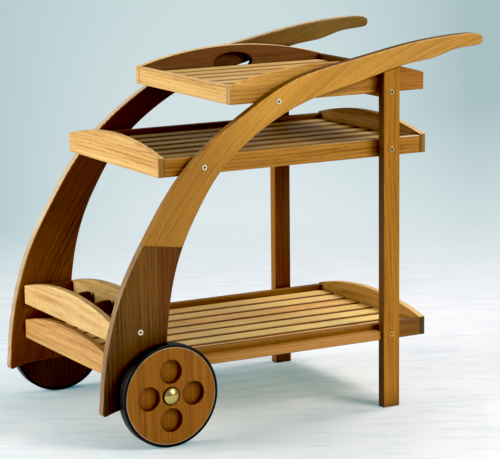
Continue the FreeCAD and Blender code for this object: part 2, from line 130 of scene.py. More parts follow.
def teak_grain():
    """The grain of one teak board: rings cut by the saw, streaks, pores, dark end grain, corners
    that are partly worn and partly painted with highlight and shade, and gaps darkened partly by
    dirt and partly by painted shade. Each board takes its own part of the log, by the cell it lies
    in."""
    group, given, made = start_group(
        "teak grain",
        (("Along Grain", "Vector", (0, 0, 0)), ("Facing", "Vector", (0, 0, 0)),
         ("Board Spacing", "Vector", (10, 10, 10)), ("Log", "Float", 0.0),
         ("Pale Wood", "Color", (0.6, 0.3, 0.1, 1)), ("Dark Wood", "Color", (0.3, 0.1, 0.02, 1)),
         ("Streak", "Float", 0.5), ("Board Change", "Float", 0.3),
         ("Corner Wear And Light", "Float", 0.3), ("Corner Tone", "Color", (0.78, 0.56, 0.31, 1)),
         ("Gap Dirt", "Float", 0.6)),
        (("Wood", "Color"), ("Shine Loss", "Float"), ("Relief", "Float")))
    along = (given, "Along Grain")

    # Which board this is, and the part of the log that it was cut from
    log_size = (7.0, 0.9, 0.9)
    half = (0.5, 0.5, 0.5)
    cell = vectors(group, "DIVIDE", along, (given, "Board Spacing"))
    cell = vectors(group, "FLOOR", vectors(group, "ADD", cell, half))
    pick = group.nodes.new("ShaderNodeTexWhiteNoise")
    pick.noise_dimensions = "4D"
    wire(group, cell, (pick, "Vector"))
    wire(group, (given, "Log"), (pick, "W"))
    place = vectors(group, "ADD", along, vectors(group, "MULTIPLY", (pick, "Color"), log_size))

    # Growth rings round a heart that lies outside the board and wanders along it
    heart_reach = (0.0, 0.22, 0.30)
    heart_slope = (0.035, 1.0, 1.0)
    ring_radians_per_metre = 760.0
    wander_by = 0.040
    waver_by = 6.5
    wander = blotches(group, place, (1.6, 3.0, 3.0), detail=1.0)
    heart = vectors(group, "SUBTRACT", (pick, "Color"), half)
    heart = vectors(group, "MULTIPLY", heart, heart_reach)
    from_heart = vectors(group, "MULTIPLY", vectors(group, "ADD", along, heart), heart_slope)
    radius = vectors(group, "LENGTH", from_heart)
    wandering = sums(group, "MULTIPLY_ADD", wander, wander_by, radius)
    ring_noise = blotches(group, place, (9.0, 60.0, 60.0))
    even_turns = sums(group, "MULTIPLY", wandering, ring_radians_per_metre)
    ring_turns = sums(group, "MULTIPLY_ADD", ring_noise, waver_by, even_turns)
    rings = sums(group, "MULTIPLY_ADD", sums(group, "SINE", ring_turns), 0.5, 0.5)
    ring_strength = blotches(group, place, (2.5, 35.0, 35.0), detail=1.0)
    ring_strength = spread(group, ring_strength, 0.35, 0.65, 0.15, 1.0)
    rings = sums(group, "MULTIPLY", sums(group, "POWER", rings, 1.6), ring_strength)

    # Broad bands, narrow streaks, dark flecks and open pores, all drawn out along the grain
    bands = spread(group, blotches(group, place, (1.3, 24.0, 24.0)), 0.30, 0.70)
    streaks = blotches(group, place, (3.0, 170.0, 170.0), detail=3.0, roughness=0.6)
    streaks = spread(group, streaks, 0.42, 0.72)
    flecks = blotches(group, place, (34.0, 420.0, 420.0), detail=1.0)
    flecks = spread(group, flecks, 0.56, 0.72)
    pores = blotches(group, place, (90.0, 1700.0, 1700.0), detail=1.0)
    pores = spread(group, pores, 0.60, 0.70)

    ring_share, band_share, streak_share, fleck_share, pore_share = 0.34, 0.46, 0.50, 0.30, 0.30
    pore_tint = (0.35, 0.24, 0.16, 1)
    figure = sums(group, "ADD", sums(group, "MULTIPLY", rings, ring_share),
                  sums(group, "MULTIPLY", bands, band_share))
    figure = sums(group, "MULTIPLY_ADD", streaks, streak_share, figure)
    figure = sums(group, "MULTIPLY_ADD", flecks, fleck_share, figure)
    off_middle = sums(group, "SUBTRACT", figure, 0.5)
    figure = sums(group, "MULTIPLY_ADD", off_middle, (given, "Streak"), 0.5)
    board_tone = sums(group, "SUBTRACT", (pick, "Value"), 0.5)
    board_tone = sums(group, "MULTIPLY", board_tone, (given, "Board Change"))
    figure = sums(group, "ADD", figure, board_tone)
    limit = group.nodes.new("ShaderNodeClamp")
    wire(group, figure, (limit, 0))
    wood = blend_colours(group, "MIX", (limit, 0), (given, "Pale Wood"), (given, "Dark Wood"))
    wood = blend_colours(group, "MULTIPLY", sums(group, "MULTIPLY", pores, pore_share), wood,
                         pore_tint)

    # End grain drinks more oil, so it is darker
    end_grain_share = 0.75
    end_grain_tint = (0.50, 0.40, 0.30, 1)
    ends = vectors(group, "DOT_PRODUCT", (given, "Facing"), (1.0, 0.0, 0.0))
    ends = spread(group, sums(group, "ABSOLUTE", ends), 0.80, 0.94)
    wood = blend_colours(group, "MULTIPLY", sums(group, "MULTIPLY", ends, end_grain_share), wood,
                         end_grain_tint)

    # Corners in their own tone, paler in some finishes and darker in others: partly wear from
    # hands and cloths, partly painted highlight and painted shade on the rounded edges
    soft = group.nodes.new("ShaderNodeBevel")
    soft.samples = 4
    soft.inputs["Radius"].default_value = 0.0030
    flat = group.nodes.new("ShaderNodeNewGeometry")
    bend = vectors(group, "DOT_PRODUCT", (soft, "Normal"), (flat, "Normal"))
    patchy = blotches(group, place, (28.0, 90.0, 90.0))
    corner = spread(group, bend, 0.995, 0.86)
    corner = sums(group, "MULTIPLY", corner, (given, "Corner Wear And Light"))
    corner = sums(group, "MULTIPLY", corner, spread(group, patchy, 0.35, 0.60, 0.35, 1.0))
    wood = blend_colours(group, "MIX", corner, wood, (given, "Corner Tone"))

    # Narrow gaps painted darker: partly oil and dust where no cloth reaches, partly painted shade
    # where little light gets in
    gap_tint = (0.16, 0.085, 0.03, 1)
    gap = group.nodes.new("ShaderNodeAmbientOcclusion")
    gap.samples = 6
    gap.inputs["Distance"].default_value = 0.024
    crevice = spread(group, (gap, "AO"), 0.74, 0.22)
    crevice = sums(group, "MULTIPLY", crevice, (given, "Gap Dirt"))
    wood = blend_colours(group, "MULTIPLY", crevice, wood, gap_tint)
    wire(group, wood, (made, "Wood"))

    # Pores, rings and end grain take the shine off, and lie a little below the surface
    shine = sums(group, "MULTIPLY_ADD", pores, 0.20, sums(group, "MULTIPLY", rings, 0.10))
    shine = sums(group, "MULTIPLY_ADD", patchy, 0.16, shine)
    shine = sums(group, "MULTIPLY_ADD", ends, 0.20, shine)
    wire(group, shine, (made, "Shine Loss"))
    relief = sums(group, "MULTIPLY_ADD", pores, -0.55, sums(group, "MULTIPLY", rings, -0.25))
    relief = sums(group, "MULTIPLY_ADD", streaks, -0.15, relief)
    wire(group, relief, (made, "Relief"))
    return group


grain_group = teak_grain()
grain_turn = {"X": (0, 0, 0), "Y": (0, 0, -math.pi / 2), "Z": (0, math.pi / 2, 0)}


def oiled_teak(name, pale, dark, grain="X", spacing=(10, 10, 10), log=0.0, streak=0.75,
               change=0.3, corner_wear_and_light=0.45, rubbed=(104, 68, 30), shade_and_dirt=0.6, tilt=0.0):
    """A teak finish with the grain along one axis of the trolley, or tilted from it. Two boards
    further apart than the spacing, in metres along, across and above the grain, are cut from
    different places in the log."""
    finish, tree, shader = start_finish(name)
    wood = place_group(tree, grain_group,
                       (("Board Spacing", spacing), ("Log", log), ("Streak", streak),
                        ("Pale Wood", paint(*pale)), ("Dark Wood", paint(*dark)),
                        ("Board Change", change), ("Corner Wear And Light", corner_wear_and_light),
                        ("Corner Tone", paint(*rubbed)), ("Gap Dirt", shade_and_dirt)))
    wood.name = "wood"
    where = tree.nodes.new("ShaderNodeTexCoord")
    rotation = (0, tilt, 0) if tilt else grain_turn[grain]
    for seen, kind, socket in (("Object", "POINT", "Along Grain"),
                               ("Normal", "VECTOR", "Facing")):
        turn = tree.nodes.new("ShaderNodeMapping")
        turn.vector_type = kind
        feed(tree, turn, (("Vector", (where, seen)), ("Rotation", rotation)))
        wire(tree, (turn, "Vector"), (wood, socket))
    roughness = spread(tree, (wood, "Shine Loss"), 0.0, 0.5, 0.40, 0.72)
    feed(tree, shader, (("Base Color", (wood, "Wood")), ("Roughness", roughness),
                        ("Specular IOR Level", 0.28)))
    raise_surface(tree, (wood, "Relief"), strength=0.5, depth=0.0003)
    return finish


def axes(tree):
    """The place on the trolley, as its three parts."""
    apart = tree.nodes.new("ShaderNodeSeparateXYZ")
    wire(tree, on_trolley(tree), (apart, "Vector"))
    return [(apart, name) for name in "XYZ"]


def from_point(tree, x, z):
    """How far behind, above and away a place lies from a line across the trolley."""
    place = axes(tree)
    behind = sums(tree, "SUBTRACT", place[0], x)
    above = sums(tree, "SUBTRACT", place[2], z)
    squares = sums(tree, "MULTIPLY_ADD", behind, behind, sums(tree, "MULTIPLY", above, above))
    return behind, above, sums(tree, "SQRT", squares)


def colour_source(shader):
    """The output that a shader takes its colour from."""
    link = shader.inputs["Base Color"].links[0]
    return (link.from_node, list(link.from_node.outputs).index(link.from_socket))


def tint_wood(finish, kind, share, tint):
    """Lays a tint over a wood finish, as far as the share says."""
    tree = finish.node_tree
    shader = tree.nodes["Principled BSDF"]
    tinted = blend_colours(tree, kind, share, colour_source(shader), (*tint, 1))
    wire(tree, tinted, (shader, "Base Color"))


def stain(finish, group, sockets):
    """Puts a node group between a finish's wood and its shader."""
    tree = finish.node_tree
    shader = tree.nodes["Principled BSDF"]
    node = place_group(tree, group, (("Wood", colour_source(shader)), *sockets))
    wire(tree, (node, "Wood"), (shader, "Base Color"))


def shade_along():
    """Wood that turns darker along one direction, from one place on the trolley to another."""
    group, given, made = start_group(
        "shade along",
        (("Wood", "Color", (1, 1, 1, 1)), ("Direction", "Vector", (1, 0, 0)),
         ("Start", "Float", 0.0), ("Stop", "Float", 1.0), ("Tint", "Color", (1, 1, 1, 1))),
        (("Wood", "Color"),))
    place = vectors(group, "DOT_PRODUCT", on_trolley(group), (given, "Direction"))
    share = spread(group, place, (given, "Start"), (given, "Stop"))
    wood = blend_colours(group, "MULTIPLY", share, (given, "Wood"), (given, "Tint"))
    wire(group, wood, (made, "Wood"))
    return group


shade_group = shade_along()
directions = {"X": (1, 0, 0), "Y": (0, 1, 0), "Z": (0, 0, 1)}


def darken(finish, axis, start, stop, tint):
    """Turns a finish darker along one axis of the trolley, from one place to another."""
    stain(finish, shade_group, (("Direction", directions[axis]), ("Start", start),
                                ("Stop", stop), ("Tint", (*tint, 1))))


def add_front_board(finish, seam, pale, dark):
    """Gives a finish a second board in front of an upright glue line, in its own colours."""
    waver_by = 0.010
    half_width = 0.002
    tree = finish.node_tree
    wood = tree.nodes["wood"]
    waver = blotches(tree, on_trolley(tree), (60.0, 1.0, 6.0))
    x = sums(tree, "MULTIPLY_ADD", waver, waver_by, axes(tree)[0])
    line = seam + waver_by / 2
    rear = spread(tree, x, line - half_width, line + half_width)
    for socket, front in (("Pale Wood", paint(*pale)), ("Dark Wood", paint(*dark))):
        back = tuple(wood.inputs[socket].default_value)
        wire(tree, blend_colours(tree, "MIX", rear, front, back), (wood, socket))


def arc_grain():
    """Grain that runs in wide arcs round a line across the trolley, instead of straight."""
    group, given, made = start_group(
        "arc grain",
        (("Arc X", "Float", 0.0), ("Arc Z", "Float", 0.0), ("Arc Radius", "Float", 1.0)),
        (("Along Grain", "Vector"),))
    behind, above, distance = from_point(group, (given, "Arc X"), (given, "Arc Z"))
    turn = sums(group, "ARCTAN2", behind, above)
    together = group.nodes.new("ShaderNodeCombineXYZ")
    feed(group, together, (("X", sums(group, "MULTIPLY", turn, (given, "Arc Radius"))),
                           ("Y", axes(group)[1]), ("Z", distance)))
    wire(group, (together, "Vector"), (made, "Along Grain"))
    return group


arc_group = arc_grain()


def bend_grain(finish, x, z, radius):
    """Bends a finish's grain, as in boards picked to suit a curved arm."""
    tree = finish.node_tree
    arc = place_group(tree, arc_group, (("Arc X", x), ("Arc Z", z), ("Arc Radius", radius)))
    wire(tree, (arc, "Along Grain"), (tree.nodes["wood"], "Along Grain"))


def finish_nodes(finish, *names, where=None):
    """Gives CAD nodes one finish, all over or on the faces that a rule of place and facing
    picks."""
    for name in names:
        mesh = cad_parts[name].data
        if where is None:
            mesh.materials.clear()
        mesh.materials.append(finish)
        for face in mesh.polygons:
            if where is None or where(face.center, face.normal):
                face.material_index = len(mesh.materials) - 1


def front_rims(centre, normal):
    """The narrow edges of a curved arm that face forwards and up."""
    return abs(normal.y) < 0.5 and normal.z - normal.x > 0


def rear_rims(centre, normal):
    """The narrow edges of a curved arm that face backwards and down."""
    return abs(normal.y) < 0.5 and normal.z - normal.x <= 0


# Pieces on the near and the far side are cut from different places in the log. The grain of
# the arms leans back, and bends round a line below and behind the trolley.
side_by_side = (10, 0.3, 10)
arm_lean = math.radians(38)
arm_curve = {"x": 0.768, "z": -0.302, "radius": 1.2}
foot_seam = -0.3558

# The near arm's wood. Its corners take a dark tone, partly wear and partly painted shade on the
# rounded edges. Painted shade turns it darker lower down, where less light falls, and it is also
# darker towards the back.
golden_teak = oiled_teak("golden teak arm", (232, 169, 70), (124, 74, 19), tilt=arm_lean,
                         spacing=side_by_side, log=1.0, streak=0.5, shade_and_dirt=0.4, corner_wear_and_light=0.9,
                         rubbed=(72, 42, 8))
darken(golden_teak, "Z", 0.71, 0.60, (0.70, 0.66, 0.64))
darken(golden_teak, "X", 0.10, 0.32, (0.84, 0.88, 1.0))
# Painted shade: the near arm's front rims are a darker copy of its wood, with a painted shadow
# just under the tray.
shaded_front_rim_teak = oiled_teak("teak front arm rim in painted shade", (181, 132, 65), (105, 66, 26),
                             tilt=arm_lean, spacing=side_by_side, log=1.2, shade_and_dirt=0.4)
darken(shaded_front_rim_teak, "Z", 0.66, 0.71, (0.32, 0.27, 0.10))
# Painted light: the far arm's front rims are a pale copy of the wood, as if lit from the left,
# turning darker towards the bottom.
lit_rim_teak = oiled_teak("teak arm rim in painted light", (231, 207, 170), (179, 142, 94),
                           tilt=arm_lean, spacing=side_by_side, log=1.4, shade_and_dirt=0.4)
darken(lit_rim_teak, "Z", 0.42, 0.34, (0.72, 0.69, 0.66))
# Painted shade: the rims of both arms that face back and down are a dark copy of the wood.
shaded_rear_rim_teak = oiled_teak("teak rear arm rim in painted shade", (120, 78, 34), (66, 38, 12), tilt=arm_lean,
                           spacing=side_by_side, log=1.6)
foot_teak = oiled_teak("brown teak foot", (122, 71, 22), (44, 20, 3), grain="Z",
                       spacing=side_by_side, log=2.0, streak=0.85)
add_front_board(foot_teak, foot_seam, (134, 88, 32), (58, 32, 8))
# Painted shade: the foot turns darker towards the floor, near the wheel.
darken(foot_teak, "Z", 0.34, 0.10, (0.38, 0.36, 0.36))
# Painted light: the near foot's front rims are a paler copy of its wood.
lit_foot_rim_teak = oiled_teak("teak foot rim in painted light", (170, 138, 96), (110, 76, 42), grain="Z",
                           spacing=side_by_side, log=2.2)

# The far arm's face is painted in shade: a darker, browner copy of the wood, darkest beside the
# tray and down its foot, and darker towards the front.
shady_teak = oiled_teak("teak far arm in painted shade", (140, 106, 43), (82, 53, 11), tilt=arm_lean,
                        spacing=side_by_side, log=1.5, corner_wear_and_light=0.0, shade_and_dirt=0.5)
darken(shady_teak, "X", 0.22, 0.02, (1.0, 0.60, 0.14))
shady_nodes = shady_teak.node_tree
# Painted shadow: darker still beside the tray.
heights = axes(shady_nodes)[2]
below_tray_top = spread(shady_nodes, heights, 0.800, 0.785)
above_tray_foot = spread(shady_nodes, heights, 0.725, 0.735)
tray_shadow = sums(shady_nodes, "MULTIPLY", below_tray_top, above_tray_foot)
tint_wood(shady_teak, "MULTIPLY", tray_shadow, (0.52, 0.46, 1.0))
# Painted shade: the far foot's face is a dark copy of the wood, darker near its top and towards
# the bottom.
far_foot_teak = oiled_teak("teak far foot in painted shade", (168, 105, 28), (75, 41, 4), tilt=arm_lean,
                           spacing=side_by_side, log=1.5, corner_wear_and_light=0.0, shade_and_dirt=0.5)
darken(far_foot_teak, "Z", 0.31, 0.44, (0.80, 0.66, 1.0))
darken(far_foot_teak, "Z", 0.26, 0.10, (0.62, 0.38, 0.8))
for finish in (golden_teak, shaded_front_rim_teak, lit_rim_teak, shady_teak, far_foot_teak,
               shaded_rear_rim_teak):
    bend_grain(finish, **arm_curve)

finish_nodes(golden_teak, "near_arm_upper")
finish_nodes(shaded_front_rim_teak, "near_arm_upper", where=front_rims)
finish_nodes(shady_teak, "far_arm_upper")
finish_nodes(foot_teak, "near_arm_lower")
finish_nodes(lit_foot_rim_teak, "near_arm_lower", where=front_rims)
finish_nodes(far_foot_teak, "far_arm_lower")
finish_nodes(lit_rim_teak, "far_arm_upper", "far_arm_lower", where=front_rims)
finish_nodes(shaded_rear_rim_teak, "near_arm_upper", "near_arm_lower", "far_arm_upper",
             "far_arm_lower", where=rear_rims)


# The two straight posts under the handles, square in section, of planed and oiled teak. Each
# is pinned up into its arm with a dowel, which doesn't show.
def facing(x, y, z, least):
    """A rule that picks the faces turned one way, at least as squarely as given."""
    return lambda centre, normal: normal.dot(Vector((x, y, z))) > least


post_fronts = facing(-1, 0, 0, 0.5)
post_teak = oiled_teak("golden teak post", (190, 128, 38), (108, 61, 10), grain="Z",
                       spacing=side_by_side, log=3.0, shade_and_dirt=0.7)
# Painted shade: the post turns darker just above the floor.
darken(post_teak, "Z", 0.05, 0.0, (0.62, 0.56, 0.50))
# Painted shade: darker copies of the wood for the far post and for the near post's front face.
shady_post_teak = oiled_teak("teak far post in painted shade", (111, 58, 12), (52, 22, 1), grain="Z",
                             spacing=side_by_side, log=3.5, shade_and_dirt=0.7)
shaded_post_side_teak = oiled_teak("teak post side in painted shade", (120, 78, 30), (66, 38, 10), grain="Z",
                            spacing=side_by_side, log=3.7)
finish_nodes(post_teak, "near_post")
finish_nodes(shaded_post_side_teak, "near_post", where=post_fronts)
finish_nodes(shady_post_teak, "far_post", "post_dowels")
# Painted light: the far post's front face takes the near post's lit finish.
finish_nodes(post_teak, "far_post", where=post_fronts)


# The two bars across the trolley that carry the tray, of sawn and oiled teak. One is bolted
# between the arms and one between the posts, with a barrel nut in each end.
bearer_teak = oiled_teak("teak bearer", (186, 128, 58), (130, 80, 30), grain="Y",
                         spacing=(10, 0.2, 0.2), log=4.0)
finish_nodes(bearer_teak, "front_tray_bearer", "rear_tray_bearer")


# The two thin teak stretchers beside the bottom shelf. Each is glued between an arm's foot and
# the post behind it, and keeps them apart.
stretcher_teak = oiled_teak("teak stretcher", (204, 144, 72), (126, 78, 32),
                            spacing=side_by_side, log=5.0)
finish_nodes(stretcher_teak, "near_stretcher", "far_stretcher")


# The middle shelf: arched teak boards at its ends, straight rails along its sides, and seven
# slats laid on battens, all glued. It is bolted between the arms and the posts, over short
# round spacers. The battens and spacers of the bottom shelf are cut with its own.
def shaded_edges():
    """Boards side by side at one pitch, darker from one distance off their middle to another."""
    group, given, made = start_group(
        "shaded edges",
        (("Wood", "Color", (1, 1, 1, 1)), ("Pitch", "Float", 0.1), ("Start", "Float", 0.0),
         ("Stop", "Float", 1.0), ("Tint", "Color", (1, 1, 1, 1))),
        (("Wood", "Color"),))
    cell = sums(group, "DIVIDE", axes(group)[1], (given, "Pitch"))
    off_centre = sums(group, "SUBTRACT", cell, sums(group, "ROUND", cell))
    distance = sums(group, "ABSOLUTE", off_centre)
    distance = sums(group, "MULTIPLY", distance, (given, "Pitch"))
    share = spread(group, distance, (given, "Start"), (given, "Stop"))
    wood = blend_colours(group, "MULTIPLY", share, (given, "Wood"), (given, "Tint"))
    wire(group, wood, (made, "Wood"))
    return group


edge_group = shaded_edges()


def shade_edges(finish, pitch, start, stop, tint):
    """Darkens the rounded edges of slats, and the gaps between them."""
    stain(finish, edge_group, (("Pitch", pitch), ("Start", start), ("Stop", stop),
                               ("Tint", (*tint, 1))))


# Each slat, rail and end board is a board of its own, and so is the one a storey above it
slat_pitch = 0.061
storey = 0.155
slat_by_slat = (10, slat_pitch, storey)
rail_by_rail = (10, 0.3, storey)
end_by_end = (10, 0.12, storey)
tops = facing(0, 0, 1, 0.5)
near_ends = facing(0, -1, 0, 0.9)
rear_top_reach = -0.12


def slat_sides(centre, normal):
    """The narrow sides of the slats, which are painted in shade."""
    return abs(normal.y) > 0.25


def near_tops(centre, normal):
    """The top edge of a cross board, from close to the near side."""
    return tops(centre, normal) and centre.y < rear_top_reach


end_teak = oiled_teak("pale teak end board", (250, 210, 133), (173, 115, 51), grain="Y",
                      spacing=end_by_end, log=6.0, change=0.12)
# Painted shade: the middle rear end board is darker than the front one, as in the tray's shade,
# with a painted shadow in its corner by the near post.
rear_end_teak = oiled_teak("teak rear end board", (183, 139, 82), (102, 64, 27), grain="Y",
                           spacing=end_by_end, log=6.5, change=0.12)
darken(rear_end_teak, "Y", -0.185, -0.215, (0.40, 0.26, 0.14))
brown_end_grain_teak = oiled_teak("brown teak end grain", (184, 138, 68), (112, 76, 28),
                                  grain="Z", log=6.3)
# Painted light: the top edges of cross boards are paler, as lit from above.
top_teak = oiled_teak("teak top edge in painted light", (244, 206, 140), (200, 150, 84), grain="Y",
                      log=11.7)
rail_teak = oiled_teak("teak rail", (218, 156, 61), (119, 69, 16), spacing=rail_by_rail,
                       log=7.0)
# Painted light: the near rail's top is paler, as lit from above, and paler still towards the back.
rail_top_teak = oiled_teak("teak rail top in painted light", (218, 166, 84), (140, 92, 36),
                           spacing=rail_by_rail, log=7.0)
rail_length = axes(rail_top_teak.node_tree)[0]
rear_share = spread(rail_top_teak.node_tree, rail_length, 0.05, 0.30, 0.0, 0.8)
tint_wood(rail_top_teak, "MIX", rear_share, (0.78, 0.64, 0.42))
# Painted shade: a darker copy of the rail wood, for the rails that lie in shade, darker still
# beyond the posts.
shaded_rail_teak = oiled_teak("teak rail in painted shade", (171, 117, 44), (91, 50, 10),
                             spacing=rail_by_rail, log=7.2)
darken(shaded_rail_teak, "X", 0.24, 0.30, (0.60, 0.56, 0.60))
# Painted shade: the middle shelf's slats are a darker copy of the bottom shelf's, as in the tray's
# shade, with painted shade along their edges.
shaded_slat_teak = oiled_teak("teak slat in painted shade", (228, 196, 126), (142, 108, 58),
                             spacing=slat_by_slat, log=8.2, change=0.35, shade_and_dirt=1.0)
shade_edges(shaded_slat_teak, slat_pitch, 0.010, 0.020, (0.30, 0.27, 0.20))
# Painted shade: a dark copy of the wood for the sides of the slats.
shaded_slat_side_teak = oiled_teak("teak slat side in painted shade", (165, 96, 40), (92, 48, 14),
                            spacing=slat_by_slat, log=8.5, corner_wear_and_light=0.0, shade_and_dirt=1.0)
batten_teak = oiled_teak("teak batten", (170, 122, 66), (120, 78, 36), grain="Y",
                         spacing=(10, storey, storey), log=9.0)
middle_slats = ["middle_slat_" + str(number) for number in range(1, 8)]

finish_nodes(end_teak, "middle_front_end")
finish_nodes(rear_end_teak, "middle_rear_end")
finish_nodes(brown_end_grain_teak, "middle_front_end", "middle_rear_end", where=near_ends)
finish_nodes(top_teak, "middle_rear_end", where=near_tops)
finish_nodes(rail_teak, "middle_near_rail")
finish_nodes(rail_top_teak, "middle_near_rail", where=tops)
finish_nodes(shaded_rail_teak, "middle_far_rail")
finish_nodes(shaded_slat_teak, *middle_slats)
finish_nodes(shaded_slat_side_teak, *middle_slats, where=slat_sides)
finish_nodes(batten_teak, "shelf_battens", "shelf_spacers")


# The bottom shelf, of teak, glued up and bolted on as the middle one is, but longer, because the
# bottle rack stands over its front. Its slats are paler than the middle shelf's painted-shade
# slats, and its rails are painted in shade.
low_end_teak = oiled_teak("golden teak end board", (218, 172, 99), (150, 93, 36), grain="Y",
                          spacing=end_by_end, log=6.2, change=0.12)
low_rear_end_teak = oiled_teak("pale teak rear end board", (207, 158, 84), (116, 75, 27),
                               grain="Y", spacing=end_by_end, log=6.7, change=0.12)
end_grain_teak = oiled_teak("dark teak end grain", (110, 80, 46), (52, 34, 16), grain="Z",
                            log=6.9)
slat_teak = oiled_teak("teak slat", (255, 232, 148), (222, 150, 78), spacing=slat_by_slat,
                       log=8.0, change=0.35, shade_and_dirt=1.0)
shade_edges(slat_teak, slat_pitch, 0.0195, 0.023, (0.44, 0.31, 0.20))
bottom_slats = ["bottom_slat_" + str(number) for number in range(1, 8)]

finish_nodes(low_end_teak, "bottom_front_end")
finish_nodes(brown_end_grain_teak, "bottom_front_end", where=near_ends)
finish_nodes(low_rear_end_teak, "bottom_rear_end")
finish_nodes(end_grain_teak, "bottom_rear_end", where=near_ends)
finish_nodes(top_teak, "bottom_rear_end", where=tops)
finish_nodes(shaded_rail_teak, "bottom_near_rail", "bottom_far_rail")
finish_nodes(slat_teak, *bottom_slats)
finish_nodes(shaded_slat_side_teak, *bottom_slats, where=slat_sides)


# The bottle rack over the front of the bottom shelf: an arched teak rail and a taller arched back,
# with two side boards and three dividers between them, painted in shade. Its sides are bolted to
# the arms, and the rest is glued.
rack_rail_teak = oiled_teak("pale teak rack rail", (240, 205, 135), (166, 112, 52),
                            grain="Y", spacing=end_by_end, log=6.4, change=0.12)
rack_back_teak = oiled_teak("pale teak rack back", (245, 210, 140), (139, 101, 52),
                            grain="Y", spacing=end_by_end, log=6.8, change=0.12)
shaded_rack_side_teak = oiled_teak("teak rack side in painted shade", (120, 74, 32), (60, 32, 10),
                            spacing=rail_by_rail, log=7.5)
shaded_divider_teak = oiled_teak("teak divider in painted shade", (112, 58, 34), (60, 28, 18),
                          spacing=(10, 0.1, 10), log=10.0)
finish_nodes(rack_rail_teak, "rack_front_rail")
finish_nodes(rack_back_teak, "rack_back_panel")
finish_nodes(shaded_rack_side_teak, "rack_near_side", "rack_far_side")
finish_nodes(shaded_divider_teak, "rack_dividers")


# The lift-off tray: two arched teak sides with oval hand holes, low boards across its ends,
# and seven slats on two battens, all glued. It rests on the two bearers by its own weight,
# with a notch in each side over each of them.
tray_ends = facing(-1, 0, 0, 0.9)
side_edges = [vertex.co.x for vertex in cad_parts["tray_far_side"].data.vertices]
hole_middle = (min(side_edges) + max(side_edges)) / 2
hole_half_length = 0.056
hole_foot = 0.7385
hole_top = 0.788


def in_hand_hole(centre, normal):
    """The wall of the oval hand hole in a tray side."""
    return (abs(normal.y) < 0.6 and abs(centre.x - hole_middle) < hole_half_length
            and hole_foot < centre.z < hole_top)


tray_side_teak = oiled_teak("teak tray side", (238, 177, 84), (130, 80, 26),
                            spacing=side_by_side, log=11.0)
darken(tray_side_teak, "X", 0.05, 0.26, (0.63, 0.51, 0.38))
grey_end_teak = oiled_teak("grey teak tray corner", (206, 174, 124), (150, 118, 74),
                           grain="Z", log=11.9)
# Painted shade: the tray's far side is a darker copy of the wood, and so is the wall of its hand
# hole.
shaded_far_side_teak = oiled_teak("teak tray side in painted shade", (125, 81, 39), (66, 34, 10),
                           spacing=side_by_side, log=11.5)
shaded_hole_teak = oiled_teak("teak hand hole in painted shade", (92, 56, 32), (56, 32, 16),
                       spacing=side_by_side, log=11.6)
tray_rear_teak = oiled_teak("brown teak tray end", (112, 74, 26), (60, 36, 6), grain="Y",
                            log=11.8)
tray_slat_teak = oiled_teak("teak tray slat", (234, 204, 132), (196, 136, 72),
                            spacing=slat_by_slat, log=8.2)
shade_edges(tray_slat_teak, slat_pitch, 0.0195, 0.023, (0.50, 0.42, 0.26))

finish_nodes(tray_side_teak, "tray_near_side")
finish_nodes(grey_end_teak, "tray_near_side", where=tray_ends)
finish_nodes(shaded_far_side_teak, "tray_far_side")
# Painted light: the far side's top and front end faces take the paler finishes of lit boards.
finish_nodes(top_teak, "tray_far_side", where=tops)
finish_nodes(end_teak, "tray_far_side", where=tray_ends)
finish_nodes(shaded_hole_teak, "tray_far_side", where=in_hand_hole)
finish_nodes(end_teak, "tray_front_end")
finish_nodes(top_teak, "tray_front_end", where=tops)
finish_nodes(tray_rear_teak, "tray_rear_end")
finish_nodes(tray_slat_teak, "tray_slats")
finish_nodes(shaded_slat_side_teak, "tray_slats", where=slat_sides)
finish_nodes(batten_teak, "tray_battens")


# The two wheel discs, turned from thick teak board. Each has four blind round pockets cut into
# its outer face, and a hole for the bush that runs on the axle.
def rub_rim(finish, x, z, radius, tint):
    """Paints a pale highlight on the rim of a turned disc, close to its edge."""
    highlight_from, highlight_full = radius - 0.0028, radius - 0.0012
    tree = finish.node_tree
    distance = from_point(tree, x, z)[2]
    share = spread(tree, distance, highlight_from, highlight_full, 0.0, 0.6)
    tint_wood(finish, "MIX", share, tint)


# Where the wheels turn, the size of a disc, and how far out across the trolley it stands
axle_x = -0.34757
axle_z = 0.115
disc_radius = 0.1085
disc_face = 0.3015


def in_pocket(centre, normal):
    """Everything that lies deeper than the outer face of a wheel disc."""
    return abs(centre.y) < disc_face


def inner_face(centre, normal):
    """The flat side of a wheel disc that faces its arm."""
    return normal.y * centre.y < 0 and abs(normal.y) > 0.9


wheel_teak = oiled_teak("teak wheel disc", (172, 107, 28), (80, 40, 4), grain="Z",
                        spacing=side_by_side, log=12.0, streak=0.5, corner_wear_and_light=0.0, shade_and_dirt=0.9)
rub_rim(wheel_teak, axle_x, axle_z, disc_radius, (0.62, 0.44, 0.26))
# Painted shade: the pockets are a darker copy of the disc's wood, and the backs of the discs a
# much darker one.
shaded_pocket_teak = oiled_teak("teak wheel pocket in painted shade", (156, 92, 19), (77, 41, 4), grain="Z",
                         spacing=side_by_side, log=12.0, streak=0.5, corner_wear_and_light=0.0, shade_and_dirt=1.0)
shaded_disc_back_teak = oiled_teak("teak wheel back in painted shade", (92, 52, 22), (44, 22, 8), grain="Z",
                             spacing=side_by_side, log=12.2, corner_wear_and_light=0.0, shade_and_dirt=0.8)
finish_nodes(wheel_teak, "near_wheel_disc", "far_wheel_disc")
finish_nodes(shaded_pocket_teak, "near_wheel_disc", "far_wheel_disc", where=in_pocket)
finish_nodes(shaded_disc_back_teak, "near_wheel_disc", "far_wheel_disc", where=inner_face)


